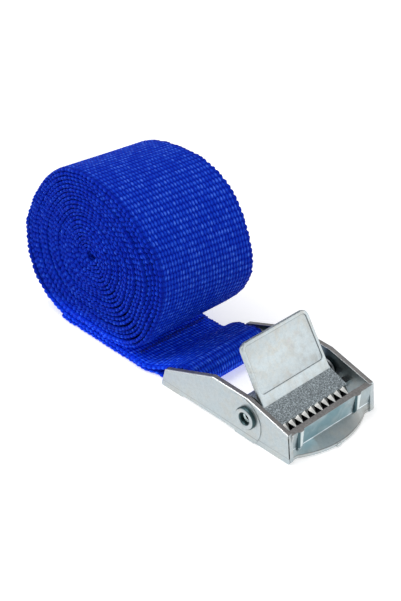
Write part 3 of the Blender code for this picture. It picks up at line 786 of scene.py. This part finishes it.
def cam_lever(look):
    low, high = LEVER_Y
    body = [
        (*CREASE, 0.0), (*RAMP_END, 0.0), (-5.6, 4.9, 0.3), (-8.3, 3.9, 0.5), (-11.2, 2.6, 0.8),
        (-13.8, 2.4, 0.0), (-13.8, 6.5, 0.0),
    ]
    made = prism("cam_lever_detail", rounded(body), low, high)
    combine(made, rod("hub", *PIN, 4.5, low, high, 72))
    _, length = plate_frame()
    corners = [(low, -2.4, 0), (high, -2.4, 0), (high - PLATE_TAPER, length, 1.9),
               (low + PLATE_TAPER, length, 1.9)]
    plate = bevel(slab("plate", corners, -PLATE_THICK, 0.0), 0.30, 3)
    left, right, top = low + PANEL_MARGIN, high - PANEL_MARGIN, length - PANEL_MARGIN
    panel = [(left, PANEL_FOOT, 0.9), (right, PANEL_FOOT, 0.9), (right - PLATE_TAPER, top, 1.0),
             (left + PLATE_TAPER, top, 1.0)]
    combine(plate, bevel(slab("panel", panel, -0.24, 0.6), 0.10, 2), "DIFFERENCE")
    combine(made, plate)
    for k in range(TEETH):
        y = (low + high) / 2 + (k - (TEETH - 1) / 2) * TOOTH_PITCH
        combine(made, tooth("tooth", y))
        if k:
            combine(made, valley("valley", y - TOOTH_PITCH / 2))
    combine(made, rod("hole", *PIN, PIN_HOLE_R, -20, 20), "DIFFERENCE")
    return dress(smooth(made, 28), look, "lever", "cam_zinc", "cam_lever")


# ---------------------------------------------------------------- spring

def tube(name, points, radius, sides=12):
    """A round wire along points in metres, with closed ends."""
    points = [Vector(p) for p in points]
    rings, normal = [], None
    for k, p in enumerate(points):
        ahead = (points[min(k + 1, len(points) - 1)] - points[max(k - 1, 0)]).normalized()
        if normal is None:
            normal = ahead.orthogonal().normalized()
        normal = (normal - ahead * normal.dot(ahead)).normalized()
        side = ahead.cross(normal)
        angles = [2 * math.pi * i / sides for i in range(sides)]
        rings.append([p + radius * (math.cos(a) * normal + math.sin(a) * side) for a in angles])
    return loft(name, rings)


def return_spring(look):
    """The coil and the leg under the ledge stay with the buckle; the arm moves with the lever."""
    wire, coil_r, y0, y1 = 0.35, 2.7, 10.85, 12.7
    basis, _ = plate_frame()
    behind = basis @ Vector((0, 7.0 * MM, -(PLATE_THICK + 0.3 + wire) * MM))
    x, z = behind.x / MM - FRONT_X, behind.z / MM
    steps = 120
    coil = []
    for k in range(steps + 1):
        a = math.pi + math.radians(810) * k / steps
        y = y0 + (y1 - y0) * k / steps
        coil.append(at(PIN[0] + coil_r * math.cos(a), PIN[1] + coil_r * math.sin(a), y))
    coil.append(at(-8.0, PIN[1] - coil_r, y1))
    made = tube("return_spring_coil", coil, wire * MM)
    dress(smooth(made, 50), look, "buckle", "spring_steel", "return_spring")
    bend = [at(x, z, 7.8), at(x, z, 9.6), at(x, z - 0.12, 10.25), at(x + 0.02, z - 0.6, 10.7),
            at(x, z - 1.2, y0)]
    foot = at(PIN[0] - coil_r - 2 * wire - 0.05, PIN[1] + 0.3, y0)
    arm = bend + [bend[-1].lerp(foot, s) for s in (0.3, 0.6, 0.85, 1.0)]
    made = tube("return_spring_arm", arm, wire * MM)
    dress(smooth(made, 50), look, "lever", "spring_steel")


# ---------------------------------------------------------------- webbing

# Middle of the outermost turn, by degrees round the roll's centre, from where it leaves the plies
OUTER_TURN = [
    (262, 23.43), (255, 24.02), (250, 24.69), (245, 25.32), (241, 25.78), (236, 26.4), (231, 26.9),
    (225, 27.35), (218, 27.5), (205, 26.45), (185, 24.75), (170, 22.9), (144, 21.6), (116, 22.35),
    (75, 22.4), (45, 23.3), (17, 24.75), (0, 24.65), (-25, 24.15), (-40, 24.95), (-55, 24.75),
    (-70, 23.2), (-90, 21.75), (-105, 22.5), (-120, 24.4),
]
# The same for the turns inside it, as if there were no wound thickness left out
INNER_TURNS = [
    (0, 25.43), (17, 25.5), (45, 23.9), (75, 22.85), (116, 22.75), (144, 22.0), (170, 23.0),
    (185, 24.6), (205, 26.2), (218, 26.6), (231, 26.0), (240, 25.4), (255, 23.5), (270, 22.69),
    (290, 24.15), (305, 25.6), (320, 25.9), (335, 24.95),
]
# Loose places between turns: the turn after which each lies, and its width
RIGHT_GAPS = [(2, 0.30), (5, 0.34), (7, 0.22), (9, 0.2), (12, 0.2)]
LEFT_GAPS = [(0, 0.25), (1, 0.5), (3, 0.3), (6, 0.25)]


def wound_share(t, gaps, crossing, radius):
    """How much of the roll's radius is used up after t turns, with loose places between turns."""
    spare = sum(width for _, width in gaps) / radius
    share = (1 - spare) * t / TURNS
    for turn, width in gaps:
        share = share + np.where(t > turn + crossing, width / radius, 0.0)
    return share


def roll_path():
    """The webbing's middle from where it lifts off the plies, round and in to the eye."""
    t = np.arange(-22 / 360, TURNS, 1 / 360)
    degrees = 240 - 360 * t
    outer = hermite([-(a - 240) / 360 for a, _ in OUTER_TURN], [r for _, r in OUTER_TURN],
                    np.minimum(t, 1.0))
    base = hermite([a for a, _ in INNER_TURNS], [r for _, r in INNER_TURNS], degrees, 360)
    wrapped = (degrees + 180) % 360 - 180
    right = smoothstep(-105, -65, wrapped) * (1 - smoothstep(35, 80, wrapped))
    lower = degrees % 360
    left = smoothstep(165, 190, lower) * (1 - smoothstep(232, 255, lower))
    share = ((1 - right - left) * t / TURNS
             + right * wound_share(t, RIGHT_GAPS, 1 / 6, ROLL_R)
             + left * wound_share(t, LEFT_GAPS, 5 / 12, ROLL_R))
    inner = EYE_R + (base - EYE_R) * (1 - share)
    radius = outer + (inner - outer) * smoothstep(0.45, 0.75, t)
    a = np.radians(degrees)
    return np.stack([ROLL[0] + radius * np.cos(a), ROLL[1] + radius * np.sin(a)], 1)


def flat_path():
    """The webbing's middle from its cut end under the plies, round the bar, and back on top."""
    tail = np.array([[TAIL_X + (BAR[0] - TAIL_X) * k / TAIL_POINTS, LOW_PLY_Z]
                     for k in range(TAIL_POINTS)])
    a = np.radians(np.linspace(-90, LOOP_LEAVES, LOOP_POINTS))
    loop = np.stack([BAR[0] + LOOP_R * np.cos(a), BAR[1] + LOOP_R * np.sin(a)], 1)
    leave = math.radians(LOOP_LEAVES)
    start, end = loop[-1], np.array([SEWN_FROM_X, TOP_PLY_Z])
    reach = np.linalg.norm(start - end) * 0.36
    first = start + reach * np.array([-math.sin(leave), math.cos(leave)])
    second = end + reach * np.array([1.0, 0.0])
    t = np.linspace(0, 1, PLY_POINTS + 1)[1:, None]
    ply = ((1 - t) ** 3 * start + 3 * t * (1 - t) ** 2 * first + 3 * t * t * (1 - t) * second
           + t ** 3 * end)
    return np.concatenate([tail, loop, ply])


def webbing_stations():
    """Even stations along the webbing: place, direction, length so far."""
    flat, roll = flat_path(), roll_path()
    run = np.linspace(flat[-1], roll[0], 40)[1:-1]
    line = np.concatenate([flat, run, roll])
    length = np.concatenate([[0], np.cumsum(np.linalg.norm(np.diff(line, axis=0), axis=1))])
    step = PICK / 4
    s = np.arange(0, length[-1], step)
    place = np.stack([np.interp(s, length, line[:, i]) for i in (0, 1)], 1)
    ahead = np.gradient(place, axis=0)
    ahead /= np.linalg.norm(ahead, axis=1)[:, None]
    marks = {
        "loop": length[TAIL_POINTS], "top": length[TAIL_POINTS + LOOP_POINTS + PLY_POINTS - 1],
        "roll": length[len(flat) + len(run)],
    }
    return place, ahead, s, marks


def weave_relief(rows, ends):
    """Height of the nearest warp float, 0 to 1, from rows along and ends across."""
    tallest = np.zeros_like(rows)
    for shift in (0.5, 1.5):
        row = np.mod(rows + 1.0 - shift, 2.0) - 1.0
        end = np.mod(ends + FLOAT_SLANT * row + 1.0 - shift, 1.0) - 0.5
        tallest = np.maximum(tallest, 1 - (row / FLOAT_LONG) ** 2 - (end / FLOAT_WIDE) ** 2)
    return np.sqrt(tallest)


def uneven(row, seed):
    """A fixed odd number between 0 and 1 for each row."""
    value = np.sin(row * 12.9898 + seed * 78.233) * 43758.5453
    return value - np.floor(value)


def edge_bead(s, shift, seed):
    """The weft's loop round the selvage, one to a row, each a little different."""
    v = s / PICK + shift
    row = np.floor(v)
    place = (v - row - 0.5 + 0.16 * (uneven(row, seed + 3) - 0.5)) / 0.5
    return np.clip(1 - place ** 2, 0, 1) ** 0.9 * (0.72 + 0.28 * uneven(row, seed))


def wander(s, seed):
    """A slow, uneven drift along the webbing, about -1 to 1."""
    return (0.5 * np.sin(s / 5.9 + seed) + 0.3 * np.sin(s / 13.7 + 2.1 * seed)
            + 0.35 * np.sin(s / 2.3 + 3.7 * seed))


def webbing_strip(place, ahead, s, face):
    """One stretch's grid of u, x, z, girth, relief and edge; face is the side with relief, or 0."""
    count = len(s)
    out = np.stack([ahead[:, 1], -ahead[:, 0]], 1)
    half = WEB_THICK / 2
    core = WEB_HALF - 0.45
    rows = s / PICK
    columns = []                                     # (u, lift, girth, relief, edge) arrays

    def add_edge(sign, order, seed):
        bead = edge_bead(s, 0.25 + 0.25 * sign, seed)
        radius = 0.24 + 0.34 * bead
        middle = sign * core + 0.12 * wander(s, seed) + 0.22 * (uneven(np.floor(rows), seed + 5) - 0.5)
        drift = 0.10 * (uneven(np.floor(rows + 0.25 + 0.25 * sign), seed + 9) - 0.5)
        for a in np.radians(order):
            flat = abs(a) > 1.2
            lift = np.sin(a) * (np.full(count, half * 0.96) if flat else radius * 1.05) + drift
            shape = bead * (0.30 + 0.70 * math.cos(a))
            columns.append((middle + sign * radius * math.cos(a) * 1.15, lift,
                            np.full(count, sign * (core + 0.6) + a * 0.5), shape, np.ones(count)))

    def add_face(side):
        if face == side:
            across = np.arange(-11.6, 11.61, END / 3)[::side]
        else:
            across = np.array([-11.2, 11.2])[::side]
        for u in across:
            relief = weave_relief(rows, np.full(count, u / END))
            fade = min(1.0, (12.0 - abs(u)) / 0.5) if face == side else 0.0
            lift = side * (half - 0.16 + 0.27 * relief * fade)
            columns.append((np.full(count, u), lift, np.full(count, u), relief, np.zeros(count)))

    angles = [-78, -40, 0, 40, 78]
    add_edge(-1, angles, 1.0)
    add_face(1)
    add_edge(1, angles[::-1], 2.0)
    add_face(-1)
    u, lift, girth, relief, edge = (np.stack([c[i] for c in columns], 1) for i in range(5))
    x = place[:, 0:1] + out[:, 0:1] * lift
    z = place[:, 1:2] + out[:, 1:2] * lift
    return u, x, z, girth, relief, edge


def strip_centre(s, x_mid, in_roll, marks):
    """Where the webbing's middle lies across the strap: off to one side, and unevenly wound."""
    after_loop = s > marks["loop"] + PAST_LOOP
    neck = np.where(after_loop & ~in_roll, smoothstep(-43, -47, x_mid) * smoothstep(-64, -54, x_mid), 0.0)
    turn = np.clip((s - marks["roll"]) / TURN_LONG, 0, None)
    wound = 0.16 * np.sin(2.4 * turn) + 0.10 * np.sin(5.3 * turn + 1) - 0.15
    return WEB_MIDDLE_Y - 0.55 * neck + np.where(in_roll, wound, 0.0)


def settle(strip, place, s, x_mid, in_roll, marks):
    """Bends a straight strip as it lies: its far end wound tighter, and both its edges drawn out."""
    u, x, z = strip
    y = strip_centre(s, x_mid, in_roll, marks)[:, None] + u
    after_loop = s > marks["loop"] + PAST_LOOP
    across = (y - ROLL_NEAR_Y) / ROLL_WIDTH
    arm = place - np.array(ROLL)
    degrees = (np.degrees(np.arctan2(arm[:, 1], arm[:, 0])) + 100) % 360 - 100
    taper = np.interp(degrees, *zip(*FAR_END_TAPER)) * in_roll
    shrink = 1 - taper[:, None] * across
    x = ROLL[0] + (x - ROLL[0]) * shrink
    z = ROLL[1] + (z - ROLL[1]) * shrink
    rise = smoothstep(-49.5, -44.5, x_mid) * (1 - smoothstep(-43, -38.5, x_mid))
    rise = rise * after_loop * (1 - in_roll)
    z = z + FAR_EDGE_RISE * rise[:, None] * np.clip(across, 0, 1)
    skew = np.where(in_roll, 1.0, np.where(after_loop, 1 - smoothstep(-66, -42, x_mid), 0.0))
    share = across * skew[:, None]
    x = x + ROLL_SHEAR[0] * share
    z = z + ROLL_SHEAR[1] * share * np.clip(z - 3, 0, None) / ROLL[1]
    behind = 1 - smoothstep(-50.5, -46, x_mid)[:, None]
    y = y - NEAR_SPREAD * behind * (0.5 - u / (2 * WEB_HALF))
    return np.stack([(FRONT_X + x) * MM, y * MM, z * MM], 2)


def closed_strip(grid):
    """Faces of a strip's grid of point numbers, round it and over both its ends."""
    following = np.roll(grid, -1, axis=1)
    quads = np.stack([grid[:-1], following[:-1], following[1:], grid[1:]], 2).reshape(-1, 4)
    return quads.tolist(), [grid[0][::-1].tolist(), grid[-1].tolist()]


def webbing(look):
    place, ahead, s, marks = webbing_stations()
    x_mid = place[:, 0]
    in_roll = s > marks["roll"]
    outer_turn_ends = marks["roll"] + OUTER_TURN_LONG
    zones = [                                        # from, to, and the side whose weave shows
        (0.0, marks["loop"] + 2.5, 0), (marks["loop"] + 2.5, marks["top"] + 14, 1),
        (marks["top"] + 14, marks["roll"] + 1.5, 0), (marks["roll"] + 1.5, outer_turn_ends, -1),
        (outer_turn_ends, 1e9, 0),
    ]
    points, uvs, reliefs, edges, quads, caps = [], [], [], [], [], []
    count = 0
    for start, end, face in zones:
        pick = np.flatnonzero((s >= start - 1e-6) & (s <= end + PICK / 4))
        u, x, z, girth, relief, edge = webbing_strip(place[pick], ahead[pick], s[pick], face)
        settled = settle((u, x, z), place[pick], s[pick], x_mid[pick], in_roll[pick], marks)
        points.append(settled.reshape(-1, 3))
        along = np.broadcast_to(s[pick][:, None] / PICK, u.shape)
        uvs.append(np.stack([girth / END, along], 2).reshape(-1, 2))
        reliefs.append(relief.ravel())
        edges.append(edge.ravel())
        sides, ends = closed_strip(count + np.arange(u.size).reshape(u.shape))
        quads += sides
        caps += ends
        count += u.size
    mesh = bpy.data.meshes.new("webbing")
    mesh.from_pydata(np.concatenate(points).tolist(), [], quads + caps)
    layer = mesh.uv_layers.new(name="weave")
    corner = np.empty(len(mesh.loops), dtype=np.int32)
    mesh.loops.foreach_get("vertex_index", corner)
    layer.data.foreach_set("uv", np.concatenate(uvs)[corner].ravel().astype(np.float32))
    for name, parts in (("relief", reliefs), ("edge", edges)):
        values = mesh.attributes.new(name, "FLOAT", "POINT")
        values.data.foreach_set("value", np.concatenate(parts).astype(np.float32))
    mesh.validate()
    made = new_object("webbing", mesh)
    made.data.shade_smooth()
    dress(made, look, "strap", "webbing", "webbing_sewn_end", "webbing_roll")
    return made


def seam(name, x, node, look):
    """A bar of zigzag stitches across both plies."""
    steps = 44
    half = 11.2
    points = []
    for k in range(steps * 4 + 1):
        share = k / (steps * 4)
        y = WEB_MIDDLE_Y - half + 2 * half * share
        side = abs((share * steps) % 2 - 1) * 2 - 1
        points.append(at(x + 0.62 * side, 2.36 + 0.10 * math.sin(share * steps * 2 * math.pi), y))
    made = tube(name, points, 0.14 * MM, 8)
    return dress(smooth(made, 60), look, "strap", "thread", node)


# ---------------------------------------------------------------- studio

def aim(thing, target):
    direction = Vector(target) - thing.location
    thing.rotation_mode = "QUATERNION"
    thing.rotation_quaternion = direction.to_track_quat("-Z", "Y")


def softbox(name, direction, distance, size, radiance):
    """A rectangular lamp facing the object; its power follows from how bright its face is."""
    data = bpy.data.lights.new(name, "AREA")
    data.shape = "RECTANGLE"
    data.size, data.size_y = size
    data.energy = radiance * math.pi * size[0] * size[1]
    lamp = bpy.data.objects.new(name, data)
    bpy.context.scene.collection.objects.link(lamp)
    lamp.location = Vector(direction).normalized() * distance
    aim(lamp, (0, 0, 0.015))


def studio():
    shape = bmesh.new()
    bmesh.ops.create_grid(shape, x_segments=8, y_segments=8, size=3.0)
    floor = from_bmesh("floor", shape)
    floor.location.z = -0.1 * MM
    floor.data.materials.append(floor_paper())
    world = bpy.data.worlds.new("studio")
    world.use_nodes = True
    world.node_tree.nodes["Background"].inputs["Color"].default_value = (0.97, 0.985, 1.0, 1)
    world.node_tree.nodes["Background"].inputs["Strength"].default_value = 0.42
    bpy.context.scene.world = world
    softbox("key", (-0.15, -0.25, 1.0), 1.0, (0.55, 0.55), 5.0)
    softbox("right", (0.77, 0.576, 0.30), 0.9, (0.9, 0.5), 1.3)
    softbox("top_left", (-0.62, -0.56, 0.60), 1.0, (0.5, 0.5), 3.0)
    softbox("front", (0.45, -0.85, 0.30), 1.0, (0.8, 0.4), 1.3)
    bpy.context.scene.view_settings.view_transform = "Standard"
    data = bpy.data.cameras.new("camera")
    camera = bpy.data.objects.new("camera", data)
    bpy.context.scene.collection.objects.link(camera)
    x, y, z = CAMERA_PLACE
    camera.location = at(x, z, y)
    a, e = math.radians(CAMERA_AZIMUTH), math.radians(CAMERA_ELEVATION)
    forward = Vector((-math.sin(a) * math.cos(e), math.cos(a) * math.cos(e), -math.sin(e)))
    camera.rotation_mode = "QUATERNION"
    camera.rotation_quaternion = forward.to_track_quat("-Z", "Y")
    data.sensor_width = 36
    data.lens = CAMERA_FOCAL_SHARE * data.sensor_width
    data.clip_start, data.clip_end = 0.01, 20
    bpy.context.scene.camera = camera


def main():
    studio()
    buckle_frame(frame_plate())
    pivot_pin(rivet_plate())
    cam_lever(lever_plate())
    return_spring(steel_wire())
    webbing(webbing_cloth())
    thread = thread_cloth()
    seam("stitches_front", -54.0, "seam_front", thread)
    seam("stitches_rear", -78.5, "seam_rear", thread)


main()
